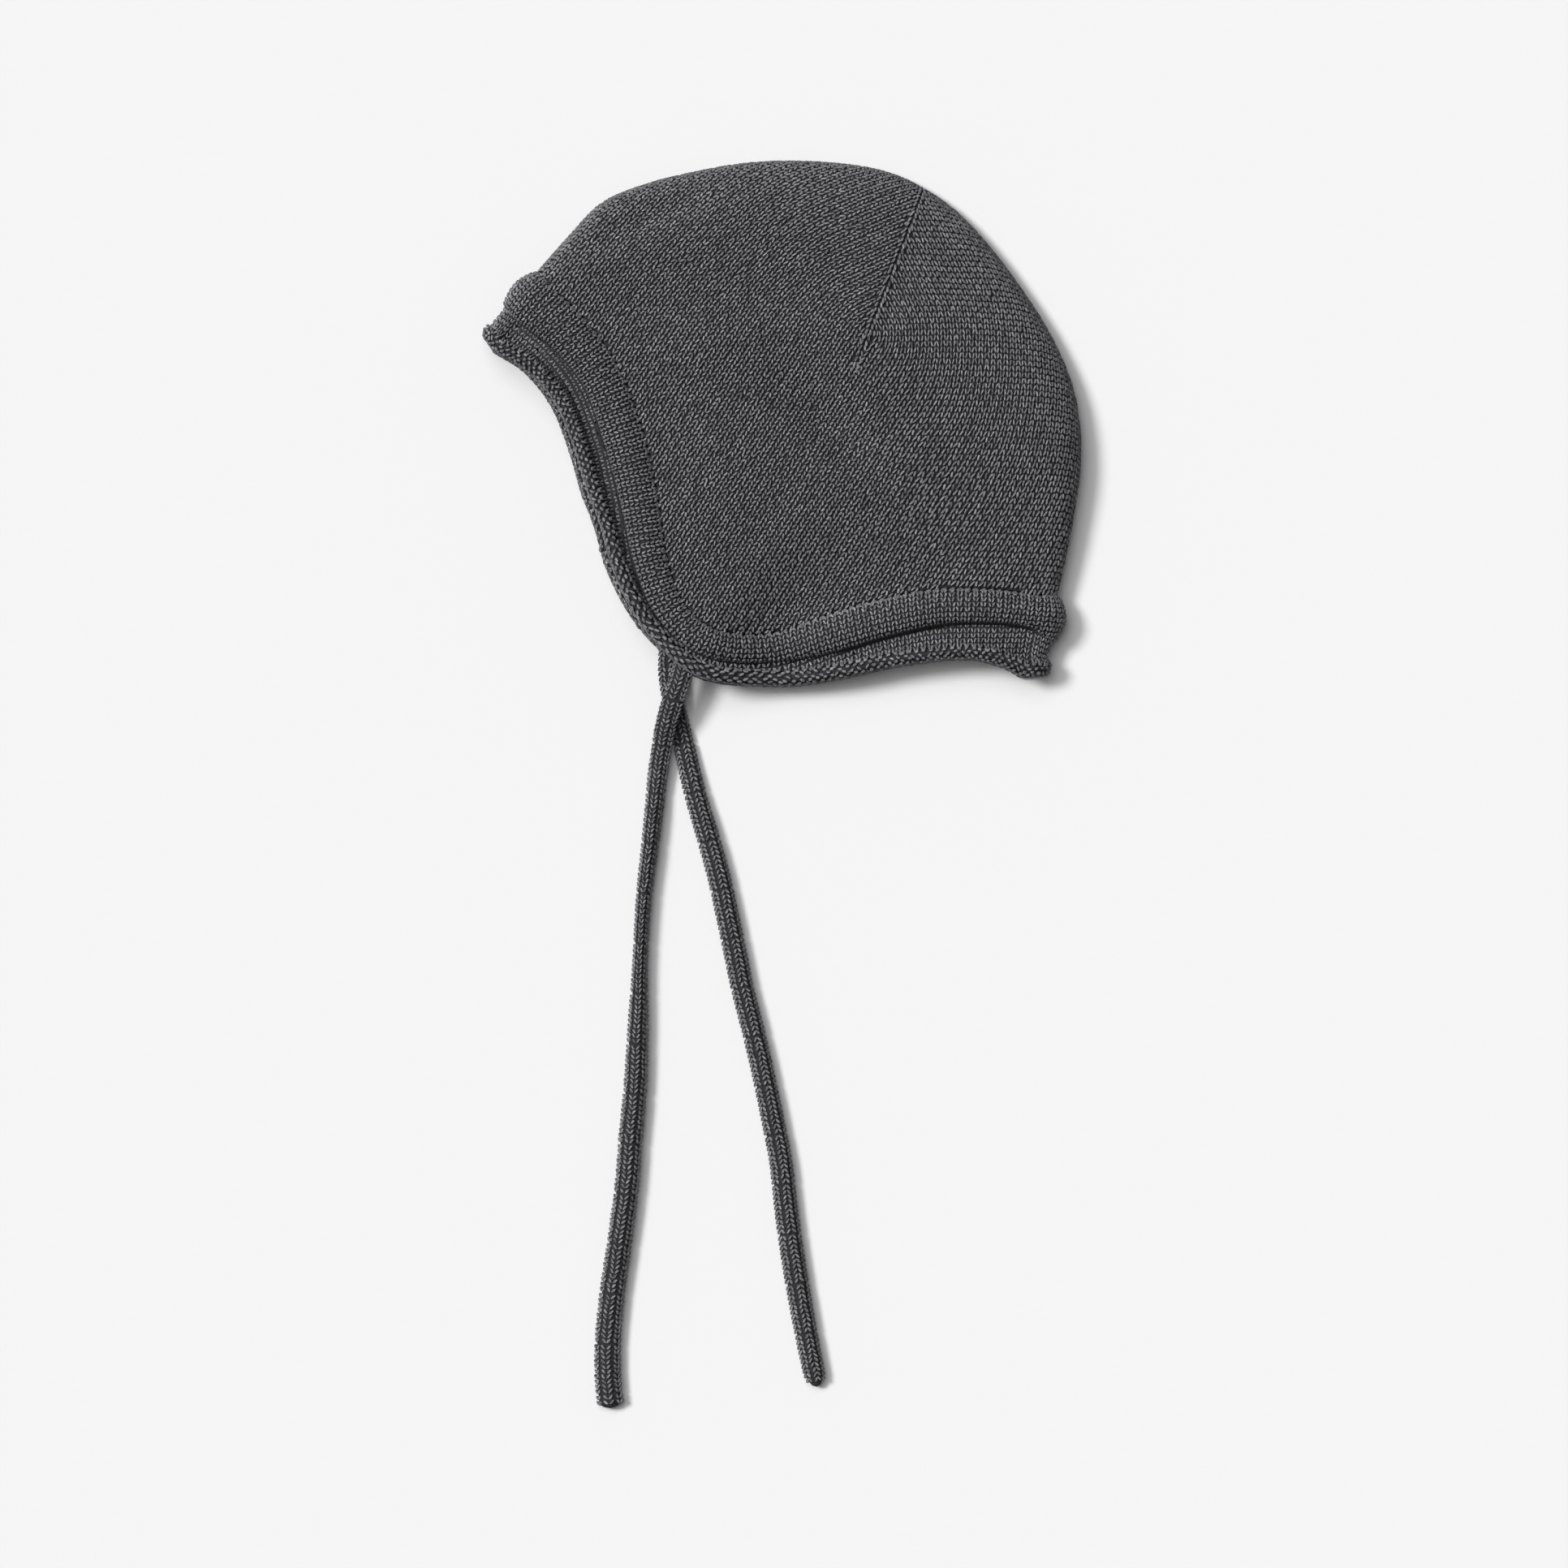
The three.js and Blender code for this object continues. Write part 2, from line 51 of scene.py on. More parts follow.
bpy.ops.object.select_all(action="DESELECT")
bpy.ops.object.camera_add(location=(*PICTURE_CENTRE, OUTLINE_HEIGHT + CAMERA_DISTANCE), rotation=(0, 0, 0))
camera = bpy.context.object
camera.name = "view_from_above"
camera.data.lens = camera.data.sensor_width * CAMERA_DISTANCE / PICTURE_WIDTH
camera.data.clip_end = 2 * CAMERA_DISTANCE
bpy.context.scene.camera = camera

# Ties: two narrow cords of charcoal wool, knitted round as a thin tube of a few stitches. They leave
# flat from under the band's rolled edge at the ear, cross, plump out and lie loose on the table.
# Points of their routes, and the thickness there.
TIE_UPPER_ROUTE = [
    (-29.4, -70.5, 12.0, 3.2), (-30.2, -75.0, 12.25, 3.2), (-31.7, -80.0, 12.3, 3.2),
    (-33.4, -85.0, 11.6, 3.3), (-35.0, -90.0, 9.6, 3.4), (-36.2, -95.0, 7.3, 3.6),
    (-37.1, -100.0, 5.4, 3.9), (-38.0, -105.5, 4.1, 4.5), (-38.8, -112.0, 3.4, 5.4),
    (-39.5, -119.0, 3.4, 6.4), (-40.7, -130.0, 3.55, 7.0), (-42.2, -142.0, 3.55, 7.0),
    (-43.2, -154.0, 3.55, 7.0), (-43.8, -166.0, 3.55, 7.0), (-44.2, -178.0, 3.55, 7.0),
    (-44.7, -192.0, 3.55, 7.0), (-45.4, -206.0, 3.55, 7.0), (-46.7, -220.0, 3.55, 7.0),
    (-48.0, -236.0, 3.55, 7.0), (-50.1, -252.0, 3.45, 6.8), (-52.4, -268.0, 3.3, 6.5),
    (-53.7, -282.0, 3.1, 6.1), (-53.8, -294.0, 3.0, 5.9), (-52.8, -304.0, 2.9, 5.7),
]
TIE_LOWER_ROUTE = [
    (-34.4, -69.0, 7.0, 3.0), (-34.6, -72.5, 6.9, 3.0), (-34.7, -76.0, 6.2, 3.0),
    (-34.4, -80.0, 5.0, 3.0), (-33.6, -85.0, 3.6, 3.1), (-32.6, -90.0, 2.4, 3.2),
    (-31.4, -95.0, 1.95, 3.4), (-30.1, -100.5, 2.1, 3.8), (-28.4, -108.0, 2.4, 4.4),
    (-26.4, -116.0, 2.75, 5.1), (-23.4, -126.0, 2.95, 5.6), (-20.0, -138.0, 2.95, 5.8),
    (-17.3, -150.0, 2.95, 5.8), (-14.8, -162.0, 2.95, 5.8), (-12.1, -175.0, 2.95, 5.8),
    (-8.8, -188.0, 2.95, 5.8), (-5.8, -201.0, 2.95, 5.8), (-3.1, -214.0, 2.95, 5.8),
    (-0.4, -228.0, 2.95, 5.8), (1.2, -242.0, 2.95, 5.8), (3.1, -256.0, 2.95, 5.8),
    (5.4, -270.0, 2.95, 5.8), (8.0, -284.0, 2.95, 5.8), (10.8, -297.4, 2.95, 5.8),
]
# Share of the tie's length from the ear, and its width there.
TIE_UPPER_WIDTHS = [
    (0, 7.2), (0.12, 6.4), (0.22, 5.8), (0.3, 5.2), (0.42, 4.8), (0.5, 6.3), (0.58, 7.1), (0.75, 7.4),
    (0.9, 7.8), (1, 8.2),
]
TIE_LOWER_WIDTHS = [(0, 7.2), (0.12, 6.6), (0.3, 7.0), (0.6, 6.9), (0.85, 7.2), (1, 6.6)]
TIE_RING_STEP = 0.5
TIE_SIDES = 20
TIE_WALES = 6
TIE_COURSE = 1.55
TIE_BLUNT_END = 2.4
TIE_TAPERED_END = 5.0
TIE_HIDDEN_END = 1.2
TIE_CORE_DEPTH = 0.7
TIE_STITCH_DEPTH = 0.4
TIE_LEG = {"width": 0.34, "length": 1.0, "slant": 0.32, "shift": 0.23}
ROUTE_FINENESS = 40
MERGE_DISTANCE = 0.001
LEG_THICKNESS = 1.0
LEG_TILT = 0.14
LEG_JITTER = 0.04
# How much one leg differs from the next in tone, and in the part of the fibre pattern that it shows.
SHADE_SPREAD = 0.16
SHADE_RANGE = (0.5, 1.7)
FIBRE_OFFSET = 1000
FIBRE_STRETCH = (4.0, 0.7, 4.0)
FIBRE_CONTRAST = (0.29, 0.73)
WOOL_DARK = (0.018, 0.018, 0.020)
WOOL_LIGHT = (0.355, 0.355, 0.375)
# The ground wool's colours are darker than the yarn's: painted shade in the gaps between the stitches, added
# to the shade that the stitches really cast.
SHADED_GROUND_DARK = (0.012, 0.012, 0.013)
SHADED_GROUND_LIGHT = (0.05, 0.05, 0.052)


def smooth_columns(rows, stations, wanted):
    """Values of each column on a smooth curve through the rows, at the wanted stations."""
    rows = np.asarray(rows, float)
    steps = np.diff(stations)[:, None]
    secants = np.diff(rows, axis=0) / steps
    slopes = np.vstack([secants[:1], (secants[:-1] + secants[1:]) / 2, secants[-1:]])
    first = np.clip(np.searchsorted(stations, wanted, side="right") - 1, 0, len(stations) - 2)
    step = steps[first]
    share = (wanted - stations[first])[:, None] / step
    rest = 1 - share
    from_values = rows[first] * rest**2 * (1 + 2 * share) + rows[first + 1] * share**2 * (3 - 2 * share)
    from_slopes = slopes[first] * share * rest**2 - slopes[first + 1] * share**2 * rest
    return from_values + step * from_slopes


def running_length(points):
    """Length walked along rows of points, 0 at the first."""
    steps = np.linalg.norm(np.diff(points, axis=0), axis=-1)
    return np.concatenate([np.zeros((1, *steps.shape[1:])), np.cumsum(steps, axis=0)])


def unit(vectors):
    """The vectors at length 1."""
    return vectors / np.linalg.norm(vectors, axis=-1, keepdims=True)


def even_path(route, step):
    """Points at even steps along a smooth curve through a route's points, and the thicknesses there."""
    route = np.array(route)
    stations = running_length(route[:, :3])
    fine = smooth_columns(route, stations, np.linspace(0, stations[-1], ROUTE_FINENESS * len(route)))
    walked = running_length(fine[:, :3])
    wanted = np.linspace(0, walked[-1], round(walked[-1] / step) + 1)
    even = np.stack([np.interp(wanted, walked, column) for column in fine.T], axis=1)
    return even[:, :3], even[:, 3]


def wrapped_grid(name, points, closed):
    """A grid whose vertices are laid on rows of points in millimetres. Edges that meet are merged."""
    rows, columns = points.shape[:2]
    bpy.ops.object.select_all(action="DESELECT")
    bpy.ops.mesh.primitive_grid_add(x_subdivisions=columns - 1, y_subdivisions=rows - 1, size=1)
    piece = bpy.context.object
    piece.name = name
    piece.data.name = name
    piece.data.vertices.foreach_set("co", (points * MM).ravel())
    bpy.ops.object.mode_set(mode="EDIT")
    bpy.ops.mesh.select_all(action="SELECT")
    bpy.ops.mesh.remove_doubles(threshold=MERGE_DISTANCE * MM)
    if closed:
        bpy.ops.mesh.normals_make_consistent(inside=False)
    bpy.ops.object.mode_set(mode="OBJECT")
    bpy.ops.object.shade_smooth()
    return piece


def yarn_leg():
    """One side of a knitted loop as a small spindle along Y, one unit long: points and triangles."""
    bpy.ops.object.select_all(action="DESELECT")
    bpy.ops.mesh.primitive_uv_sphere_add(segments=4, ring_count=3, radius=0.5)
    model = bpy.context.object
    bpy.ops.object.mode_set(mode="EDIT")
    bpy.ops.mesh.select_all(action="SELECT")
    bpy.ops.transform.rotate(value=math.pi / 4, orient_axis="Z", center_override=(0, 0, 0))
    bpy.ops.transform.rotate(value=math.pi / 2, orient_axis="X", center_override=(0, 0, 0))
    bpy.ops.mesh.quads_convert_to_tris()
    bpy.ops.object.mode_set(mode="OBJECT")
    points = np.array([vertex.co for vertex in model.data.vertices])
    triangles = np.array([face.vertices for face in model.data.polygons])
    bpy.data.objects.remove(model)
    return points, triangles


LEG_POINTS, LEG_TRIANGLES = yarn_leg()


def joined_legs(name, centres, across, along, normals, seed):
    """Many yarn legs as one mesh. Each leg has a centre, its thickness vector across, its length vector
    along and the normal, whose length is its thickness outwards. All are in millimetres."""
    random = np.random.default_rng(seed)
    handed = np.sign((np.cross(across, along) * normals).sum(axis=1, keepdims=True))
    across = across * handed
    local = LEG_POINTS[None, :, :, None]
    axes = np.stack([across, along, normals], axis=1)[:, None]
    points = centres[:, None] + (local * axes).sum(axis=2)
    count, corners = points.shape[:2]
    triangles = LEG_TRIANGLES[None] + corners * np.arange(count)[:, None, None]
    mesh = bpy.data.meshes.new(name)
    mesh.from_pydata((points * MM).reshape(-1, 3), [], triangles.reshape(-1, 3).tolist())
    lengths = np.linalg.norm(axes, axis=-1)
    yarn = LEG_POINTS[None] * lengths + random.uniform(0, FIBRE_OFFSET, (count, 1, 3))
    shade = np.repeat(np.clip(random.normal(1, SHADE_SPREAD, count), *SHADE_RANGE), corners)
    mesh.attributes.new("yarn", "FLOAT_VECTOR", "POINT").data.foreach_set("vector", yarn.ravel())
    mesh.attributes.new("shade", "FLOAT", "POINT").data.foreach_set("value", shade)
    facing = np.repeat(unit(normals), corners, axis=0)
    mesh.attributes.new("facing", "FLOAT_VECTOR", "POINT").data.foreach_set("vector", facing.ravel())
    mesh.shade_smooth()
    piece = bpy.data.objects.new(name, mesh)
    bpy.context.collection.objects.link(piece)
    return piece


def knit_stitches(name, centres, across, along, normals, seed, width, length, slant, shift):
    """Plain knit stitches, each a V of two yarn legs that opens along the wale. across and along are
    the steps to the next wale and the next course, in millimetres. A leg's width, slant and shift are
    shares of the step across, and its length is a share of the step along."""
    random = np.random.default_rng(seed)
    legs = []
    for side in (-1, 1):
        wobble = random.normal(0, LEG_JITTER, (len(centres), 4, 1))
        middle = centres + across * (side * shift + wobble[:, 0]) + along * wobble[:, 1]
        lift = LEG_TILT * np.linalg.norm(along, axis=1, keepdims=True)
        reach = length * along + (side * slant + wobble[:, 3]) * across + normals * lift
        breadth = width * (1 + wobble[:, 2]) * across
        legs.append((middle, breadth, reach, normals * LEG_THICKNESS))
    arrays = [np.concatenate(parts) for parts in zip(*legs)]
    return joined_legs(name, *arrays, seed)


def melange_wool():
    """Node group for heathered wool: fine dark and light fibres along each yarn leg."""
    group = bpy.data.node_groups.new("melange_wool", "ShaderNodeTree")
    sockets = group.interface
    sockets.new_socket("Dark", in_out="INPUT", socket_type="NodeSocketColor")
    sockets.new_socket("Light", in_out="INPUT", socket_type="NodeSocketColor")
    sockets.new_socket("Color", in_out="OUTPUT", socket_type="NodeSocketColor")
    sockets.new_socket("Height", in_out="OUTPUT", socket_type="NodeSocketFloat")
    nodes, links = group.nodes, group.links
    given = nodes.new("NodeGroupInput")
    result = nodes.new("NodeGroupOutput")
    yarn = nodes.new("ShaderNodeAttribute")
    yarn.attribute_name = "yarn"
    shade = nodes.new("ShaderNodeAttribute")
    shade.attribute_name = "shade"
    stretch = nodes.new("ShaderNodeMapping")
    stretch.inputs["Scale"].default_value = FIBRE_STRETCH
    fibres = nodes.new("ShaderNodeTexNoise")
    fibres.inputs["Scale"].default_value = 1.0
    fibres.inputs["Detail"].default_value = 2.0
    contrast = nodes.new("ShaderNodeMapRange")
    contrast.inputs["From Min"].default_value = FIBRE_CONTRAST[0]
    contrast.inputs["From Max"].default_value = FIBRE_CONTRAST[1]
    shaded = nodes.new("ShaderNodeMath")
    shaded.operation = "MULTIPLY"
    mix = nodes.new("ShaderNodeMix")
    mix.data_type = "RGBA"
    links.new(yarn.outputs["Vector"], stretch.inputs["Vector"])
    links.new(stretch.outputs["Vector"], fibres.inputs["Vector"])
    links.new(fibres.outputs["Fac"], contrast.inputs["Value"])
    links.new(contrast.outputs["Result"], shaded.inputs[0])
    links.new(shade.outputs["Fac"], shaded.inputs[1])
    links.new(shaded.outputs["Value"], mix.inputs["Factor"])
    links.new(given.outputs["Dark"], mix.inputs["A"])
    links.new(given.outputs["Light"], mix.inputs["B"])
    links.new(mix.outputs["Result"], result.inputs["Color"])
    links.new(fibres.outputs["Fac"], result.inputs["Height"])
    return group


MELANGE_WOOL = melange_wool()


def stitch_wool(name, dark, light):
    """Wool of the raised stitches. Their fuzz evens out the light on each yarn, so that it follows the
    way the fabric faces as well as the yarn's roundness."""
    material = bpy.data.materials.new(name)
    material.use_nodes = True
    nodes, links = material.node_tree.nodes, material.node_tree.links
    shader = nodes["Principled BSDF"]
    shader.inputs["Roughness"].default_value = 0.85
    shader.inputs["Specular IOR Level"].default_value = 0.25
    wool = nodes.new("ShaderNodeGroup")
    wool.node_tree = MELANGE_WOOL
    wool.inputs["Dark"].default_value = (*dark, 1)
    wool.inputs["Light"].default_value = (*light, 1)
    bump = nodes.new("ShaderNodeBump")
    bump.inputs["Strength"].default_value = 0.4
    bump.inputs["Distance"].default_value = 0.15 * MM
    facing = nodes.new("ShaderNodeAttribute")
    facing.attribute_name = "facing"
    fuzz = nodes.new("ShaderNodeMix")
    fuzz.data_type = "VECTOR"
    fuzz.inputs["Factor"].default_value = 0.65
    even = nodes.new("ShaderNodeVectorMath")
    even.operation = "NORMALIZE"
    links.new(wool.outputs["Color"], shader.inputs["Base Color"])
    links.new(wool.outputs["Height"], bump.inputs["Height"])
    links.new(bump.outputs["Normal"], fuzz.inputs["A"])
    links.new(facing.outputs["Vector"], fuzz.inputs["B"])
    links.new(fuzz.outputs["Result"], even.inputs[0])
    links.new(even.outputs["Vector"], shader.inputs["Normal"])
    return material


def ground_wool_painted_shade(name, dark, light):
    """Wool of the fabric below the raised stitches: its colours are darker than the yarn's, as painted shade
    between the stitches.
    """
    material = bpy.data.materials.new(name)
    material.use_nodes = True
    nodes, links = material.node_tree.nodes, material.node_tree.links
    shader = nodes["Principled BSDF"]
    shader.inputs["Roughness"].default_value = 0.95
    shader.inputs["Specular IOR Level"].default_value = 0.1
    place = nodes.new("ShaderNodeTexCoord")
    fuzz = nodes.new("ShaderNodeTexNoise")
    fuzz.inputs["Scale"].default_value = 1.4 / MM
    fuzz.inputs["Detail"].default_value = 3
    mix = nodes.new("ShaderNodeMix")
    mix.data_type = "RGBA"
    mix.inputs["A"].default_value = (*dark, 1)
    mix.inputs["B"].default_value = (*light, 1)
    bump = nodes.new("ShaderNodeBump")
    bump.inputs["Strength"].default_value = 0.6
    bump.inputs["Distance"].default_value = 0.4 * MM
    links.new(place.outputs["Object"], fuzz.inputs["Vector"])
    links.new(fuzz.outputs["Fac"], mix.inputs["Factor"])
    links.new(mix.outputs["Result"], shader.inputs["Base Color"])
    links.new(fuzz.outputs["Fac"], bump.inputs["Height"])
    links.new(bump.outputs["Normal"], shader.inputs["Normal"])
    return material


stitch_material = stitch_wool("raised_wool", WOOL_DARK, WOOL_LIGHT)
# Painted shade: the wool under the stitches gets darker colours than the yarn on top.
ground_painted_shade_material = ground_wool_painted_shade("ground_wool_painted_shade", SHADED_GROUND_DARK, SHADED_GROUND_LIGHT)


def tie(name, route, widths, end_length, opens, twist, seed):
    """A tie: a flat core along its route, and knit stitches round it, whose V's open on towards the tip
    (1) or back towards the ear (-1). twist is how far the top wale lies aside, in wales."""
    path, thickness = even_path(route, TIE_RING_STEP)
    walked = running_length(path)
    length = walked[-1]
    direction = unit(np.gradient(path, axis=0))
    sideways = unit(np.cross((0, 0, 1), direction))
    upwards = np.cross(direction, sideways)
    table = np.array(widths)
    half_width = smooth_columns(table[:, 1:], table[:, 0], walked / length)[:, 0] / 2
    from_root = np.clip(walked / TIE_HIDDEN_END, 0, 1)
    from_tip = np.clip((length - walked) / end_length, 0, 1)
    rounding = np.sqrt(1 - (1 - from_root) ** 2) * np.sqrt(1 - (1 - from_tip) ** 2)

    def ring(depth, turns):
        wide = ((half_width - depth) * rounding)[:, None, None]
        high = ((thickness / 2 - depth) * rounding)[:, None, None]
        level = np.cos(turns)[None, :, None] * sideways[:, None]
        raised = np.sin(turns)[None, :, None] * upwards[:, None]
        return path[:, None] + wide * level + high * raised

    core_turns = np.linspace(0, 2 * math.pi, TIE_SIDES + 1)
    core = wrapped_grid(name + "_core", ring(TIE_CORE_DEPTH, core_turns), closed=True)
    core.data.materials.append(ground_painted_shade_material)
    wales = math.pi / 2 + 2 * math.pi * (np.arange(TIE_WALES) + twist) / TIE_WALES
    courses = np.arange(TIE_COURSE / 2, length - TIE_COURSE / 2, TIE_COURSE)
    at = np.round(courses / TIE_RING_STEP).astype(int)
    half_step = math.pi / TIE_WALES
    across = (ring(TIE_STITCH_DEPTH, wales + half_step) - ring(TIE_STITCH_DEPTH, wales - half_step))[at]
    across = across.reshape(-1, 3)
    centres = ring(TIE_STITCH_DEPTH, wales)[at].reshape(-1, 3)
    along = np.repeat(opens * direction[at] * TIE_COURSE, TIE_WALES, axis=0)
    normals = unit(np.cross(across, opens * along))
    stitches = knit_stitches(name + "_stitches", centres, across, along, normals, seed, **TIE_LEG)
    stitches.data.materials.append(stitch_material)
    for piece in (core, stitches):
        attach(piece, "root")
    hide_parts(name)


tie("tie_upper", TIE_UPPER_ROUTE, TIE_UPPER_WIDTHS, TIE_BLUNT_END, opens=-1, twist=0.1, seed=11)
tie("tie_lower", TIE_LOWER_ROUTE, TIE_LOWER_WIDTHS, TIE_TAPERED_END, opens=1, twist=-0.25, seed=12)

# Crown: one shell of plain knit wool, shaped by decreases along a dart behind the ear and folded over
# along its top and back, so that two layers lie on each other. It is open at the face and the neck.
# Sections from the front of the fold, over the top and back, to the nape, each from the fold to the seam.
CROWN_COLUMNS = ("fold_x", "fold_y", "rim_x", "rim_y", "fold_mid", "fold_low", "crown_high", "shoulder",
                 "heel", "rim_high", "rim_low")
CROWN_SECTIONS = [
    (-75.1, 46.6, -71.4, 41.7, 9.0, 3.0, 15.0, 6, 6.0, 15.0, 3.0),
    (-65.9, 57.1, -61.4, 32.6, 7.4, 1.4, 16.0, 13, 6.0, 15.8, 3.2),
    (-55.9, 67.4, -51.1, 18.6, 5.8, 0.2, 16.6, 20, 5.4, 16.0, 3.2),
    (-40.9, 73.9, -42.9, -1.6, 4.8, 0.0, 16.8, 26, 4.8, 16.0, 3.0),
    (-25.9, 77.6, -39.4, -16.4, 4.4, 0.0, 17.0, 29, 4.6, 16.0, 2.8),
    (-10.9, 80.1, -37.4, -27.6, 4.2, 0.0, 17.2, 30, 4.4, 16.2, 2.8),
    (9.1, 80.6, -35.1, -42.4, 4.0, 0.0, 17.6, 30, 4.2, 16.6, 2.8),
    (31.6, 77.6, -29.4, -56.6, 3.8, 0.0, 18.2, 29, 4.0, 16.8, 2.6),
    (46.8, 70.4, -19.4, -64.1, 3.6, 0.0, 18.6, 28, 4.0, 16.2, 2.2),
    (59.4, 59.6, -3.9, -64.9, 3.5, 0.0, 18.8, 28, 3.9, 9.6, 0.3),
    (72.9, 42.6, 14.1, -59.1, 3.5, 0.0, 18.8, 27, 3.9, 11.4, 0.4),
    (84.1, 24.6, 30.4, -54.4, 3.8, 0.0, 18.8, 24, 4.1, 12.8, 0.5),
    (90.4, 7.6, 46.6, -51.4, 4.6, 0.0, 18.4, 20, 4.6, 13.6, 0.6),
    (92.1, -9.9, 59.1, -51.1, 5.2, 0.0, 16.8, 16, 5.0, 14.0, 0.8),
    (89.6, -29.9, 70.4, -51.9, 5.8, 0.5, 13.8, 11, 5.2, 12.8, 1.6),
    (84.9, -52.8, 78.9, -53.2, 6.8, 2.3, 11.4, 6, 4.5, 11.2, 2.3),
]
# The band at the same sections. peek is how far the lower layer reaches out past the upper one.
BAND_COLUMNS = ("edge_x", "edge_y", "crease", "roll", "sink", "bulge", "peek")
BAND_SECTIONS = [
    (-88.5, 21.5, 15.6, 5.6, 1.5, 3.0, 0.0),
    (-79.5, 16.4, 14.4, 5.4, 0.4, 3.0, 0.5),
    (-70.4, 6.8, 13.2, 5.0, 0.0, 3.0, 1.4),
    (-63.6, -8.5, 13.4, 4.8, 0.0, 3.0, 1.9),
    (-59.9, -21.0, 12.8, 4.8, 0.0, 3.0, 2.0),
    (-56.1, -30.8, 12.0, 4.6, 0.0, 2.8, 2.0),
    (-51.5, -46.4, 10.8, 4.8, 0.0, 2.5, 1.9),
    (-41.3, -64.8, 9.6, 4.6, 0.0, 2.0, 1.0),
    (-25.4, -78.4, 9.2, 5.0, 0.0, 2.0, 0.2),
    (-1.4, -81.1, 9.4, 5.2, 0.0, 2.2, 0.0),
    (18.1, -78.9, 12.6, 5.2, 0.0, 2.6, 0.0),
    (33.6, -75.4, 12.8, 5.2, 0.0, 2.8, 0.0),
    (47.6, -73.4, 12.2, 5.2, 0.0, 2.8, 0.0),
    (58.2, -72.9, 11.6, 5.2, 0.0, 2.8, 0.0),
    (67.2, -75.1, 11.2, 5.6, 0.2, 3.2, 0.0),
    (73.8, -78.4, 11.4, 6.0, 0.5, 4.1, 0.0),
]
# Swells and dents of the upper layer: centre, half-lengths along and across, turn and height.
CROWN_RELIEF = [
    (22, 24, 15, 12, 69, 1.4),
    (11, 1, 15, 3.6, -42, -5.0),
    (-14, 24, 20, 7, -4, 2.4),
    (-8, -36, 14, 7, 60, -1.2),
    (56, -18, 16, 8, 80, -1.0),
    (-44, 62, 20, 3.5, 27, -1.8),
    (57, 43, 18, 5, -45, -2.0),
    (34.5, 38, 18, 2.2, 69, -1.3),
]
KNIT_WALL = 2.4
BROW_REACH = 55
UNDERSIDE_LIFT_REACH = 18
RELIEF_FADE = 14
SECTION_COUNT = 42
UPPER_ROWS = 15
LOWER_ROWS = 11
SHOULDER_DENSITY = 1.5
HEEL_DENSITY = 5
GRID_FINENESS = 3
NORMAL_SMOOTHING = 2
GROUND_DEPTH = 0.75
GROUND_WALL = 1.4


def ease(distance, reach):
    """A smooth rise from 0 to 1 over a reach."""
    share = np.clip(distance / reach, 0, 1)
    return share * share * (3 - 2 * share)


def crown_relief(plan):
    """Height that the swells and dents add."""
    height = 0
    for x, y, along, across, turn, rise in CROWN_RELIEF:
        turn = math.radians(turn)
        off_x, off_y = plan[..., 0] - x, plan[..., 1] - y
        far_along = (off_x * math.cos(turn) + off_y * math.sin(turn)) / along
        far_across = (off_y * math.cos(turn) - off_x * math.sin(turn)) / across
        height = height + rise * np.exp(-(far_along**2 + far_across**2) / 2)
    return height


def walk_layer(length, reach, rise, density, share):
    """Distance in from the fold, and the rounding's rise from 0 to 1, at a share of the way from the
    seam to the fold."""
    rounding = density * np.hypot(reach, rise)
    straight = np.maximum(length - reach, 0)
    walked = share * (straight + rounding)
    angle = np.clip(1 - (walked - straight) / rounding, 0, 1) * math.pi / 2
    curved = np.minimum(reach, length) * (1 - np.cos(angle))
    return np.where(walked < straight, length - walked, curved), np.sin(angle)


table = np.array(CROWN_SECTIONS)
middles = (table[:, 0:2] + table[:, 2:4]) / 2
stations = running_length(middles)
wanted = np.linspace(0, stations[-1], GRID_FINENESS * SECTION_COUNT + 1)
crown = dict(zip(CROWN_COLUMNS, smooth_columns(table, stations, wanted).T[:, :, None]))
band = dict(zip(BAND_COLUMNS, smooth_columns(BAND_SECTIONS, stations, wanted).T[:, :, None]))
fold = np.concatenate([crown["fold_x"], crown["fold_y"]], axis=1)
upper_rim = np.concatenate([crown["rim_x"], crown["rim_y"]], axis=1)
edge = np.concatenate([band["edge_x"], band["edge_y"]], axis=1)
outward = unit(edge - upper_rim)
lower_rim = upper_rim + outward * band["peek"]


def layer_plan(rim, inset, length):
    """Points of a layer seen from above, at distances in from the fold."""
    return fold[:, None] + (rim - fold)[:, None] * (inset / length)[:, :, None]


def upper_layer():
    """The upper layer's columns of points, each from the seam to just before the fold."""
    rows = GRID_FINENESS * UPPER_ROWS
    share = np.arange(rows)[None] / rows
    length = np.linalg.norm(fold - upper_rim, axis=1)[:, None]
    rise = crown["crown_high"] - crown["fold_mid"]
    inset, lift = walk_layer(length, crown["shoulder"], rise, SHOULDER_DENSITY, share)
    plan = layer_plan(upper_rim, inset, length)
    brow = np.minimum(BROW_REACH, length)
    drop = (crown["rim_high"] - crown["crown_high"]) * ease(inset - length + brow, brow)
    fade = ease(inset, RELIEF_FADE) * ease(length - inset, RELIEF_FADE)
    height = crown["fold_mid"] + rise * lift + drop + fade * crown_relief(plan)
    return np.dstack([plan, height])


def lower_layer():
    """The lower layer's columns of points, each from the fold to the seam."""
    rows = GRID_FINENESS * LOWER_ROWS
    share = 1 - np.arange(rows + 1)[None] / rows
    length = np.linalg.norm(fold - lower_rim, axis=1)[:, None]
    fall = crown["fold_mid"] - crown["fold_low"]
    inset, lift = walk_layer(length, crown["heel"], fall, HEEL_DENSITY, share)
    plan = layer_plan(lower_rim, inset, length)
    reach = np.minimum(UNDERSIDE_LIFT_REACH, length)
    lift_up = (crown["rim_low"] - crown["fold_low"]) * ease(inset - length + reach, reach)
    height = np.maximum(0, crown["fold_mid"] - fall * lift + lift_up)
    return np.dstack([plan, height])


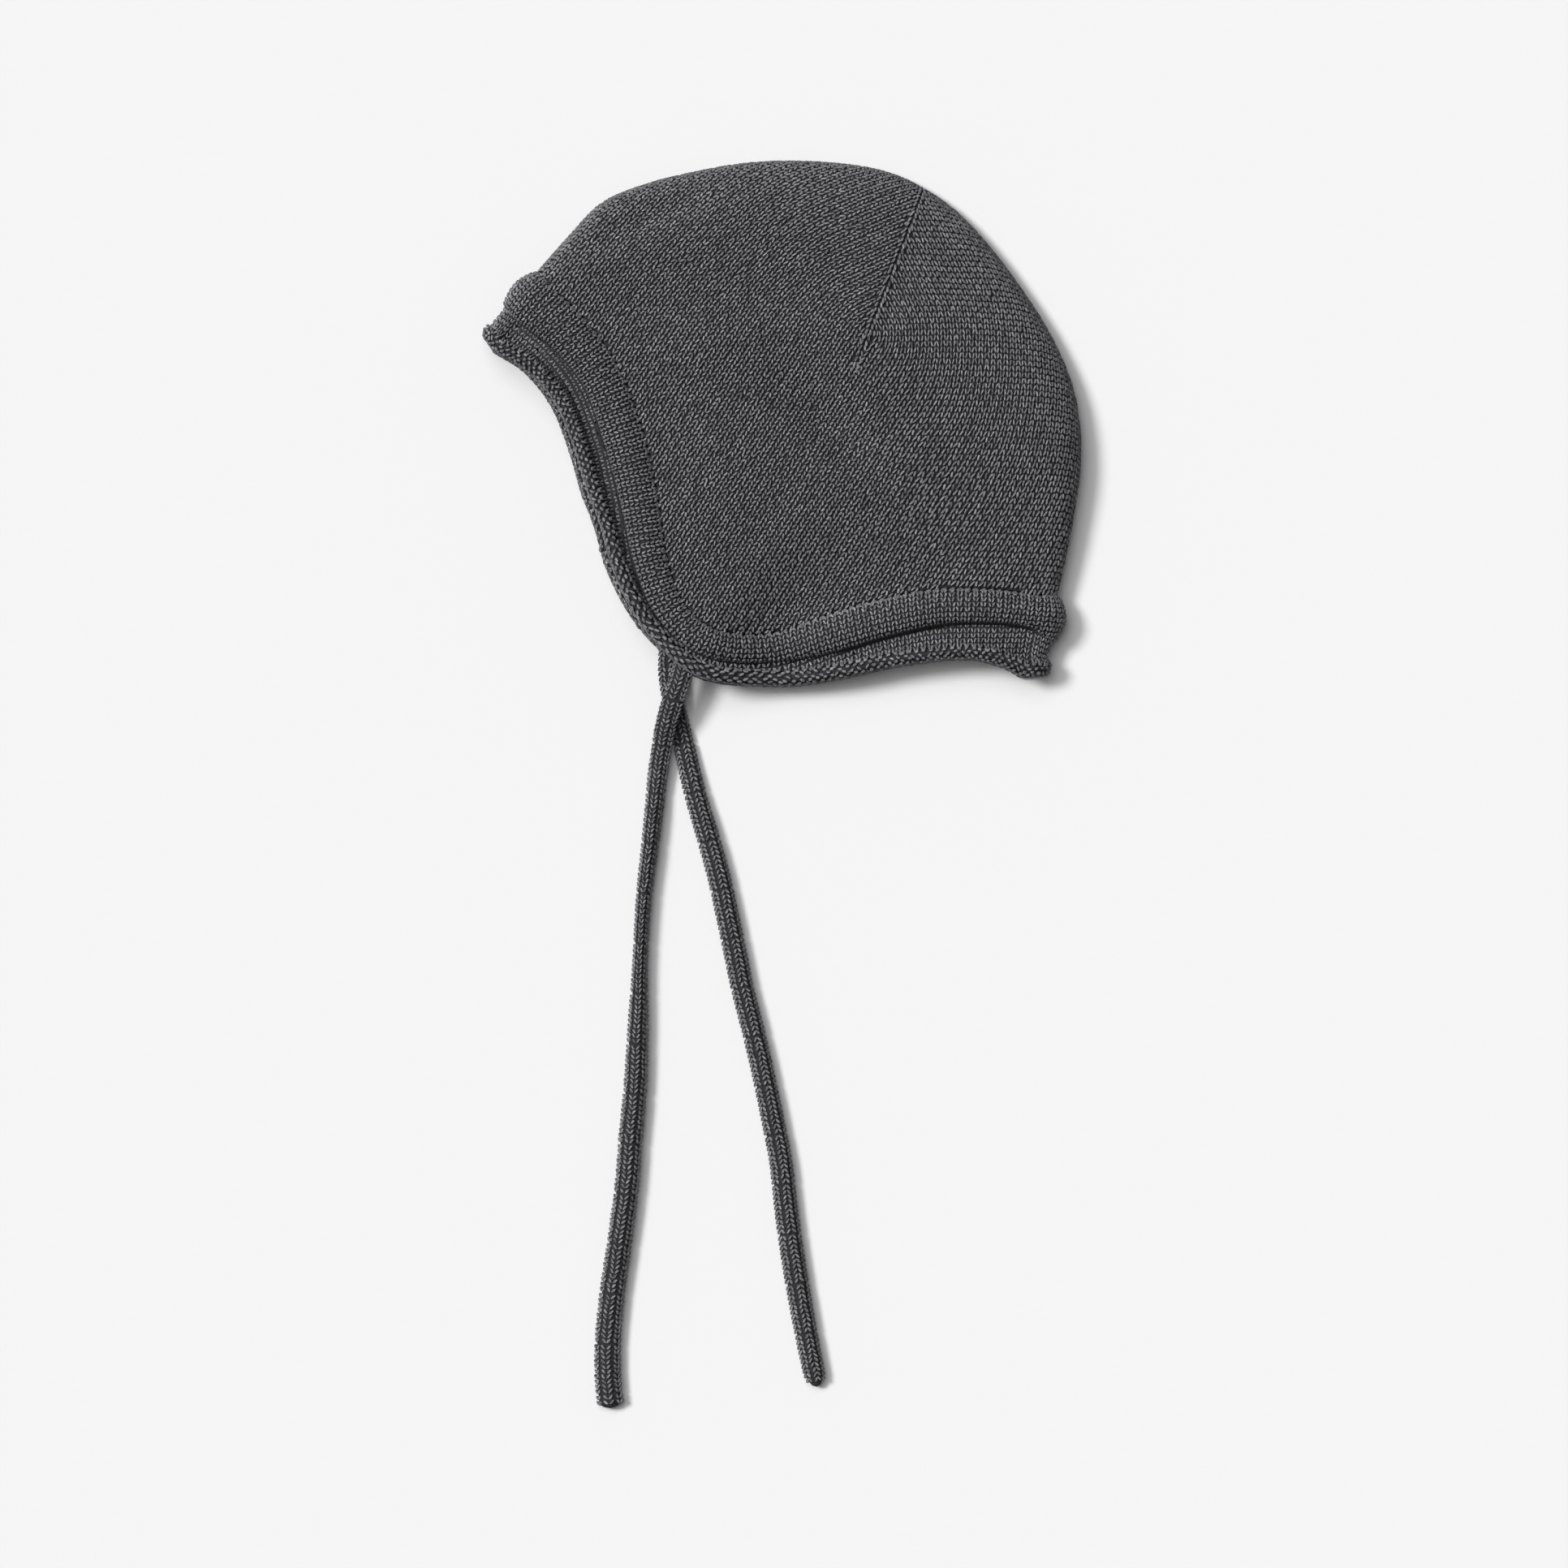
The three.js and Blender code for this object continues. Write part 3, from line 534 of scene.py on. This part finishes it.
def grid_normals(grid, passes):
    """Outward normals of a grid of points, evened out with their neighbours."""
    normals = np.zeros_like(grid)
    faces = np.cross(grid[1:, 1:] - grid[:-1, :-1], grid[:-1, 1:] - grid[1:, :-1])
    for low_i, high_i in ((0, -1), (1, None)):
        for low_j, high_j in ((0, -1), (1, None)):
            normals[low_i:high_i, low_j:high_j] += faces
    for _ in range(passes):
        even = normals.copy()
        even[1:] += normals[:-1]
        even[:-1] += normals[1:]
        even[:, 1:] += normals[:, :-1]
        even[:, :-1] += normals[:, 1:]
        normals = unit(even)
    return unit(normals)


crown_grid = np.concatenate([upper_layer(), lower_layer()], axis=1)
crown_normals = grid_normals(crown_grid, NORMAL_SMOOTHING)

ground = (crown_grid - GROUND_DEPTH * crown_normals).transpose(1, 0, 2)
crown_shell = wrapped_grid("crown_shell", np.ascontiguousarray(ground), closed=False)
wall = crown_shell.modifiers.new("wall", "SOLIDIFY")
wall.thickness = GROUND_WALL * MM
wall.offset = -1
bpy.ops.object.modifier_apply(modifier=wall.name)
crown_shell.data.materials.append(ground_painted_shade_material)
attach(crown_shell, "root")
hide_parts("crown")

# The crown's stitches: wales of plain knit that run up from the face and neck edge and turn towards
# the dart, where the columns from both sides meet. Both layers have them.
DART_POINT = 27.9 + 30.1j
DART_TURN = 69
DART_LENGTH = 70
DART_WALE = 2.7
DART_CLEARANCE = 0.95
DART_TAIL = 13
DART_COURSE = 1.8
# The turn round the dart point, in degrees, from which a lean of the wales or of the courses' way up
# holds, and that lean.
WALE_LEANS = [(69, 28), (128, 47), (170, 58), (312, 74), (330, 89), (369, 110)]
COURSE_LEANS = [(69, 47), (100, 56), (180, 60), (274, 88)]
WALE = 2.15
COURSE = 1.43
FAN_EASING = 15
LATTICE_REACH = 120
FOLD_HEIGHT = 5.0
FOLD_OVERLAP_ROWS = 9
STITCH_HEIGHT = -0.15
CROWN_LEG = {"width": 0.37, "length": 1.12, "slant": 0.22, "shift": 0.24}

fan_turns = np.radians(np.arange(DART_TURN - FAN_EASING, DART_TURN + 360 + FAN_EASING + 1))


def fan_rates(leans, pitch, quarter):
    """Stitches on each millimetre away from the dart point, in all directions round it. Where one lean
    follows another the rates agree, so that no stitch is lost there."""
    starts, facings = np.radians(leans).T
    facings = facings + quarter
    scale = 1 / pitch
    rates = scale * np.cos(fan_turns - facings[0])
    for start, before, facing in zip(starts[1:], facings, facings[1:]):
        scale *= math.cos(start - before) / math.cos(start - facing)
        rates = np.where(fan_turns < start, rates, scale * np.cos(fan_turns - facing))
    easing = np.ones(2 * FAN_EASING + 1) / (2 * FAN_EASING + 1)
    return np.convolve(rates, easing, mode="valid")


fan = fan_rates(WALE_LEANS, WALE, -math.pi / 2) + 1j * fan_rates(COURSE_LEANS, COURSE, 0)
fan_turns = fan_turns[FAN_EASING:-FAN_EASING]
fan_bearings = np.unwrap(np.angle(fan))
fan_middle = (fan_bearings[0] + fan_bearings[-1]) / 2


def fan_bearing(knit):
    """The direction from the dart point in which stitches lie, counted in stitches."""
    return fan_middle + np.angle(knit * np.exp(-1j * fan_middle))


def laid_in_fan(knit):
    """Where stitches, counted across and up from the dart point, lie on the crown."""
    bearing = fan_bearing(knit)
    distance = np.abs(knit) / np.interp(bearing, fan_bearings, np.abs(fan))
    return DART_POINT + distance * np.exp(1j * np.interp(bearing, fan_bearings, fan_turns))


def crown_lattice():
    """Stitch places in the plane of the unfolded crown, with the steps across and along, as complex
    numbers. A column of stitches runs up the dart, and starts a little below its point."""
    count = np.arange(-LATTICE_REACH, LATTICE_REACH) + 0.5
    knit = (count[:, None] + 1j * count[None]).ravel()
    bearing = fan_bearing(knit)
    knit = knit[(bearing > fan_bearings[0]) & (bearing < fan_bearings[-1])]
    up_dart = np.exp(1j * math.radians(DART_TURN))
    from_dart = (laid_in_fan(knit) - DART_POINT) / up_dart
    knit = knit[(from_dart.real < -DART_TAIL) | (np.abs(from_dart.imag) > DART_CLEARANCE)]
    step = 0.1
    across = (laid_in_fan(knit + step) - laid_in_fan(knit - step)) / (2 * step)
    along = (laid_in_fan(knit - 1j * step) - laid_in_fan(knit + 1j * step)) / (2 * step)
    column = DART_POINT + np.arange(-DART_TAIL, DART_LENGTH, DART_COURSE) * up_dart
    column_across = np.full(len(column), -1j * DART_WALE * up_dart)
    column_along = np.full(len(column), -DART_COURSE * up_dart)
    parts = ((laid_in_fan(knit), column), (across, column_across), (along, column_along))
    return [np.concatenate(pair) for pair in parts]


def flat(values):
    """Complex numbers as points in a level plane."""
    return [Vector((value.real, value.imag, 0)) for value in values]


def crown_stitches(name, grid, normals, keeps, seed):
    """Knit stitches on one layer, whose columns of points start at the seam. keeps says for a height
    whether a stitch there is made."""
    rim = grid[:, 0, :2]
    towards_fold = unit(grid[:, -1 - FOLD_OVERLAP_ROWS, :2] - rim)
    walked = np.moveaxis(running_length(np.moveaxis(grid, 1, 0)), 0, 1)
    pattern = rim[:, None] + towards_fold[:, None] * walked[:, :, None]
    columns, rows = walked.shape
    corner = (np.arange(columns - 1)[:, None] * rows + np.arange(rows - 1)[None]).ravel()
    quads = np.stack([corner, corner + rows, corner + rows + 1, corner + 1], axis=1)
    triangles = np.concatenate([quads[:, (0, 1, 2)], quads[:, (0, 2, 3)]]).tolist()
    pattern_points = [Vector((x, y, 0)) for x, y in pattern.reshape(-1, 2)]
    solid_points = [Vector(point) for point in grid.reshape(-1, 3)]
    solid_normals = [Vector(normal) for normal in normals.reshape(-1, 3)]
    tree = BVHTree.FromPolygons(pattern_points, triangles)
    placed = []
    for here, across, along in zip(*(flat(values) for values in crown_lattice())):
        hit, _, face, _ = tree.ray_cast(here + Vector((0, 0, 1)), Vector((0, 0, -1)))
        if hit is None:
            continue
        corners = triangles[face]
        flat_corners = [pattern_points[i] for i in corners]
        solid_corners = [solid_points[i] for i in corners]
        normal_corners = [solid_normals[i] for i in corners]
        centre = barycentric_transform(hit, *flat_corners, *solid_corners)
        if not keeps(centre.z):
            continue
        beside = barycentric_transform(hit + across, *flat_corners, *solid_corners) - centre
        ahead = barycentric_transform(hit + along, *flat_corners, *solid_corners) - centre
        normal = barycentric_transform(hit, *flat_corners, *normal_corners).normalized()
        placed.append((centre + STITCH_HEIGHT * normal, beside, ahead, normal))
    arrays = [np.array(column) for column in zip(*placed)]
    stitches = knit_stitches(name, *arrays, seed, **CROWN_LEG)
    stitches.data.materials.append(stitch_material)
    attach(stitches, "root")


fold_row = UPPER_ROWS * GRID_FINENESS
upper_rows = slice(0, fold_row + FOLD_OVERLAP_ROWS + 1)
lower_rows = slice(None, fold_row - FOLD_OVERLAP_ROWS - 1, -1)
crown_stitches("crown_stitches_upper", crown_grid[:, upper_rows], crown_normals[:, upper_rows],
               keeps=lambda height: height >= FOLD_HEIGHT, seed=21)
crown_stitches("crown_stitches_lower", crown_grid[:, lower_rows], crown_normals[:, lower_rows],
               keeps=lambda height: height < FOLD_HEIGHT, seed=22)

# Band: one knitted strip linked on round the face and neck edge. It bulges next to the seam, sinks
# into a crease, and its free edge rolls outwards, so that the purl side shows on the roll.
SEAT_GAP = 0.36
CREASE_FLOOR = 0.4
CREASE_OVERHANG = 0.7
# Share of the way from the front to the nape, and how sharp and how deep the crease is there.
CREASE_SHARPNESS = [(0, 0.2), (0.15, 0.3), (0.45, 0.3), (0.54, 0.2), (0.62, 0.3), (0.72, 1), (1, 1)]
CREASE_DEPTHS = [(0, 2.1), (0.4, 2.1), (0.5, 1.1), (0.6, 1.1), (0.72, 1.8), (1, 1.8)]
SOFT_LIP_SHARE = 1.0
SHARP_LIP_SHARE = 0.4
CREASE_UNDER_SHARE = 0.25
ROLL_TIGHTENING = 0.2
FRONT_END_CREASE = 16
FRONT_END_LIFT = 0.5
NAPE_END_CREASE = 15.7
NAPE_END_LIFT = 1.5
END_ROW_STEP = 2
# Shares of the way to the crease and of the bulge, and the angles of the points on the roll.
BULGE_STEPS = [(0.12, 0.42), (0.34, 0.88), (0.58, 1.0), (0.88, 0.62)]
ROLL_ANGLES = [150, 112, 74, 36, -2, -40, -90]
BAND_NORMAL_SMOOTHING = 1


def open_edge(columns, rows, column_step, row_step):
    """Grid places round the open edge: upper seam, nape, lower seam and front."""
    places = [(i, 0) for i in range(0, columns - 1, column_step)]
    places += [(columns - 1, j) for j in range(0, rows - 1, row_step)]
    places += [(i, rows - 1) for i in range(columns - 1, 0, -column_step)]
    places += [(0, j) for j in range(rows - 1, 0, -row_step)]
    return places


def band_profile(bulge, roll, sink, crease, depth, sharpness, width):
    """The band's section: distance out from the seam, and height over the crown there."""
    radius = roll / 2 - ROLL_TIGHTENING
    turns = np.radians(ROLL_ANGLES)
    centre = np.array((width - radius, radius - KNIT_WALL - sink))
    roll_points = centre + radius * np.stack([np.cos(turns), np.sin(turns)], axis=1)
    upper = np.array(BULGE_STEPS) * (crease, bulge)
    crease_top = np.array((crease - CREASE_OVERHANG * sharpness, -depth))
    lip_share = SOFT_LIP_SHARE + (SHARP_LIP_SHARE - SOFT_LIP_SHARE) * sharpness
    lip = np.array((max(crease + CREASE_FLOOR, width - roll), -depth * lip_share))
    crease_under = np.array((crease, -KNIT_WALL - CREASE_UNDER_SHARE * depth))
    under = upper[::-1] - (0, KNIT_WALL)
    seam = np.array((SEAT_GAP, 0))
    return np.vstack([seam, upper, crease_top, lip, roll_points, crease_under, under, seam - (0, KNIT_WALL)])


def finer(grid, times):
    """The same grid of points with more rows and columns, on smooth curves through the points."""
    for axis in (0, 1):
        lines = np.moveaxis(grid, axis, 0)
        count = len(lines)
        wanted = np.linspace(0, count - 1, times * (count - 1) + 1)
        smooth = smooth_columns(lines.reshape(count, -1), np.arange(count), wanted)
        grid = np.moveaxis(smooth.reshape(len(wanted), *lines.shape[1:]), 0, axis)
    return grid


def band_rings():
    """The band's section at places round the open edge, and the breadth of its plain strip there."""
    columns, rows = crown_grid.shape[:2]
    rings, strips = [], []
    for i, j in open_edge(columns, rows, GRID_FINENESS, END_ROW_STEP * GRID_FINENESS):
        out = np.append(outward[i], 0)
        normal = crown_normals[i, j] - out * (crown_normals[i, j] @ out)
        normal = normal / np.linalg.norm(normal)
        end_crease = FRONT_END_CREASE if i == 0 else NAPE_END_CREASE
        end_lift = FRONT_END_LIFT if i == 0 else NAPE_END_LIFT
        end_share = math.sin(math.pi * j / (rows - 1)) if i in (0, columns - 1) else 0
        values = {name: band[name][i, 0] for name in ("crease", "bulge", "roll", "sink")}
        values["crease"] += (end_crease - values["crease"]) * end_share
        sharpness = np.interp(i / (columns - 1), *zip(*CREASE_SHARPNESS))
        depth = np.interp(i / (columns - 1), *zip(*CREASE_DEPTHS))
        depth -= (depth + end_lift) * end_share
        width = np.linalg.norm(edge[i] - upper_rim[i])
        profile = band_profile(depth=depth, sharpness=sharpness, width=width, **values)
        rings.append(crown_grid[i, j] + profile[:, :1] * out + profile[:, 1:] * normal)
        strips.append(width - values["crease"] - values["roll"])
    rings = np.array(rings)
    rings[..., 2] = np.maximum(rings[..., 2], 0)
    return rings, np.array(strips)


rings, strips = band_rings()
closed_rings = np.concatenate([rings, rings[:1]])
band_grid = finer(np.concatenate([closed_rings, closed_rings[:, :1]], axis=1), GRID_FINENESS)
band_grid[..., 2] = np.maximum(band_grid[..., 2], 0)
band_grid[-1] = band_grid[0]
band_grid[:, -1] = band_grid[:, 0]
band_normals = grid_normals(band_grid, BAND_NORMAL_SMOOTHING)
band_ground = band_grid + GROUND_DEPTH * band_normals
band_ground[-1] = band_ground[0]
band_ground[:, -1] = band_ground[:, 0]
band_core = wrapped_grid("band_core", band_ground, closed=True)
band_core.data.materials.append(ground_painted_shade_material)
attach(band_core, "root")
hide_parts("band")

# The band's stitches: wales of plain knit run from the linking seam over the bulge and through the
# crease. On the roll the purl side shows: staggered rows of small bumps along the edge.
BAND_WALE = 2.45
BAND_COURSE = 1.6
BAND_LEG = {"width": 0.37, "length": 1.0, "slant": 0.24, "shift": 0.235}
PURL_ROW = 1.25
PURL_LENGTH = 0.62
PURL_WIDTH = 1.15
PURL_THICKNESS = 1.2
PURL_SLANT = 0.4
PURL_JITTER = 0.14
SELVAGE_LENGTH = 1.3
SELVAGE_SLANT = 0.75
SELVAGE_WIDTH = 0.95
KNIT_STRIP = 4.0
PURL_SEED = 32
# Points of the band's section, counted from the seam.
SELVAGE_POINT = 10.5
BULGE_TOP = 2 * GRID_FINENESS
CREASE_LIP = 6 * GRID_FINENESS
ROLL_TOP = 8 * GRID_FINENESS
INSIDE_END = 19 * GRID_FINENESS


def band_lines(count):
    """The band's section at even steps round it, as lines of points from the seam round the roll, and
    the point on each where the plain knit ends."""
    walked = running_length(band_grid[:, BULGE_TOP])
    place = np.interp(np.arange(count) / count * walked[-1], walked, np.arange(len(walked)))
    before = place.astype(int)
    share = (place - before)[:, None, None]
    spread = np.clip(strips[before // GRID_FINENESS] / KNIT_STRIP, 0, 1)
    ends = np.round(CREASE_LIP + (ROLL_TOP - CREASE_LIP) * spread).astype(int)
    return band_grid[before] * (1 - share) + band_grid[before + 1] * share, ends


def band_places(lines, first, last, step, starts):
    """Places at even steps on each line between two of its points: centres, half the way from the line
    before to the line after, the step onward, and outward normals."""
    walked = running_length(np.moveaxis(lines, 1, 0)).T

    def at(line, stations):
        line = line % len(lines)
        wanted = walked[line, first[line]] + stations
        return np.stack([np.interp(wanted, walked[line], lines[line, :, axis]) for axis in range(3)], axis=1)

    parts = []
    for line, start in enumerate(starts):
        stations = np.arange(start, walked[line, last[line]] - walked[line, first[line]], step)
        beside = (at(line + 1, stations) - at(line - 1, stations)) / 2
        onward = at(line, stations + step / 2) - at(line, stations - step / 2)
        normals = unit(np.cross(onward, beside))
        parts.append((at(line, stations) + STITCH_HEIGHT * normals, beside, onward, normals))
    return [np.concatenate(columns) for columns in zip(*parts)]


seam_walk = running_length(band_grid[:, BULGE_TOP])[-1]
wale_count = round(seam_walk / BAND_WALE)
lines, knit_ends = band_lines(wale_count)
seam_starts = np.zeros(wale_count, int)
centres, beside, onward, normals = band_places(lines, seam_starts, knit_ends, BAND_COURSE,
                                               seam_starts + BAND_COURSE / 2)
band_knit = knit_stitches("band_stitches", centres, beside, -onward, normals, seed=31, **BAND_LEG)

selvage_point = round(SELVAGE_POINT * GRID_FINENESS)
selvage = lines[:, selvage_point]
beside = (np.roll(selvage, -1, axis=0) - np.roll(selvage, 1, axis=0)) / 2
onward = unit(lines[:, selvage_point + 1] - lines[:, selvage_point - 1])
normals = unit(np.cross(onward, beside))
band_selvage = joined_legs("band_selvage", selvage, onward * SELVAGE_WIDTH,
                           beside * SELVAGE_LENGTH + onward * SELVAGE_SLANT, normals, seed=34)

purl_count = 2 * wale_count
purl_starts = np.where(np.arange(purl_count) % 2, PURL_ROW, 0)
lines, knit_ends = band_lines(purl_count)
inside_ends = np.full(purl_count, INSIDE_END)
centres, beside, onward, normals = band_places(lines, knit_ends, inside_ends, 2 * PURL_ROW, purl_starts)
random = np.random.default_rng(PURL_SEED)
slant = random.normal(0, PURL_SLANT, (len(centres), 1)) * PURL_ROW
centres = centres + random.normal(0, PURL_JITTER, centres.shape)
band_purl = joined_legs("band_purl", centres, unit(onward) * PURL_WIDTH,
                        beside * 2 * PURL_LENGTH + unit(onward) * slant, normals * PURL_THICKNESS,
                        seed=PURL_SEED)

for piece in (band_knit, band_purl, band_selvage):
    piece.data.materials.append(stitch_material)
    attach(piece, "root")

# Linking seam: a row of chain stitches that joins band and crown. It lies a little below the stitches
# on both sides, so that it shows as a fine line.
CHAIN_STEP = 2.4
CHAIN_WIDTH = 1.5
CHAIN_HEIGHT = -0.3
CHAIN_LEG = {"width": 0.4, "length": 0.9, "slant": 0.3, "shift": 0.22}

chain_lines, _ = band_lines(round(seam_walk / CHAIN_STEP))
chain_beside = (np.roll(chain_lines[:, 0], -1, axis=0) - np.roll(chain_lines[:, 0], 1, axis=0)) / 2
chain_onward = unit(chain_lines[:, 1] - chain_lines[:, 0]) * CHAIN_WIDTH
chain_normals = unit(np.cross(chain_onward, chain_beside))
seam_chain = knit_stitches("seam_chain", chain_lines[:, 0] + CHAIN_HEIGHT * chain_normals, chain_onward,
                           chain_beside, chain_normals, seed=33, **CHAIN_LEG)
seam_chain.data.materials.append(stitch_material)
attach(seam_chain, "root")

# Table and light: a plain white surface under a key light and a softbox, both from the left and a little
# from the top of the picture, with an even fill from all round.
FLOOR_SIZE = 6.0
FLOOR_COLOUR = (0.8, 0.8, 0.8)
KEY_STRENGTH = 2.32
KEY_FROM = (-0.83, 0.34, 1.19)
KEY_SOFTNESS = math.radians(15)
SOFTBOX_STRENGTH = 1.45
SOFTBOX_FROM = (-0.25, 0.26, 0.93)
SOFTBOX_SOFTNESS = math.radians(45)
FILL_STRENGTH = 0.125

bpy.ops.object.select_all(action="DESELECT")
bpy.ops.mesh.primitive_plane_add(size=FLOOR_SIZE)
floor = bpy.context.object
floor.name = "table"
floor_material = bpy.data.materials.new("white_table")
floor_material.use_nodes = True
floor_shader = floor_material.node_tree.nodes["Principled BSDF"]
floor_shader.inputs["Base Color"].default_value = (*FLOOR_COLOUR, 1)
floor_shader.inputs["Roughness"].default_value = 1.0
floor_shader.inputs["Specular IOR Level"].default_value = 0.0
floor.data.materials.append(floor_material)

for name, strength, source, softness in (("key_light", KEY_STRENGTH, KEY_FROM, KEY_SOFTNESS),
                                         ("softbox", SOFTBOX_STRENGTH, SOFTBOX_FROM, SOFTBOX_SOFTNESS)):
    bpy.ops.object.light_add(type="SUN", rotation=Vector(source).to_track_quat("Z", "Y").to_euler())
    lamp = bpy.context.object
    lamp.name = name
    lamp.data.energy = strength
    lamp.data.angle = softness

world = bpy.data.worlds.new("soft_fill")
world.use_nodes = True
world.node_tree.nodes["Background"].inputs["Color"].default_value = (1, 1, 1, 1)
world.node_tree.nodes["Background"].inputs["Strength"].default_value = FILL_STRENGTH
bpy.context.scene.world = world
bpy.context.scene.view_settings.view_transform = "Standard"
